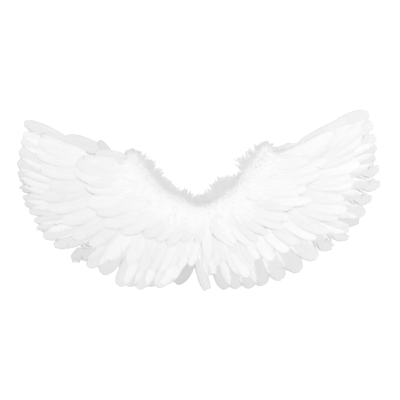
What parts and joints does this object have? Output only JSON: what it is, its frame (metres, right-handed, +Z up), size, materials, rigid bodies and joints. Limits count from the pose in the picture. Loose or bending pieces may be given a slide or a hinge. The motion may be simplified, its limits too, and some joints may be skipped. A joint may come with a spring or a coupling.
{
  "type": "feather costume wings",
  "caption": "Pair of white feather costume wings: overlapping rows of feathers on a felt panel, with a fluffy down trim along a V neckline.",
  "frame": {"origin": "underside of the felt panel at the middle of the wearer's back", "axes": "+X along the span to the right wing as shown, +Y to the top of the wings, +Z up out of the feathered side"},
  "size_m": [0.7981, 0.3994, 0.0459],
  "materials": {
    "felt": "matte pressed felt",
    "feather": "soft satin feather vane",
    "down": "matte fluffy down"
  },
  "bodies": {
    "root": {"felt_panel": "felt", "left_edge_feather": "feather", "right_edge_feather": "feather", "middle_centre_feather": "feather", "short_centre_feather": "feather", "left_flight_feathers": "feather", "right_flight_feathers": "feather", "tail_feathers": "feather", "left_middle_feathers": "feather", "left_short_feathers": "feather", "right_middle_feathers": "feather", "right_short_feathers": "feather", "down_trim": "down"}
  },
  "joints": []
}
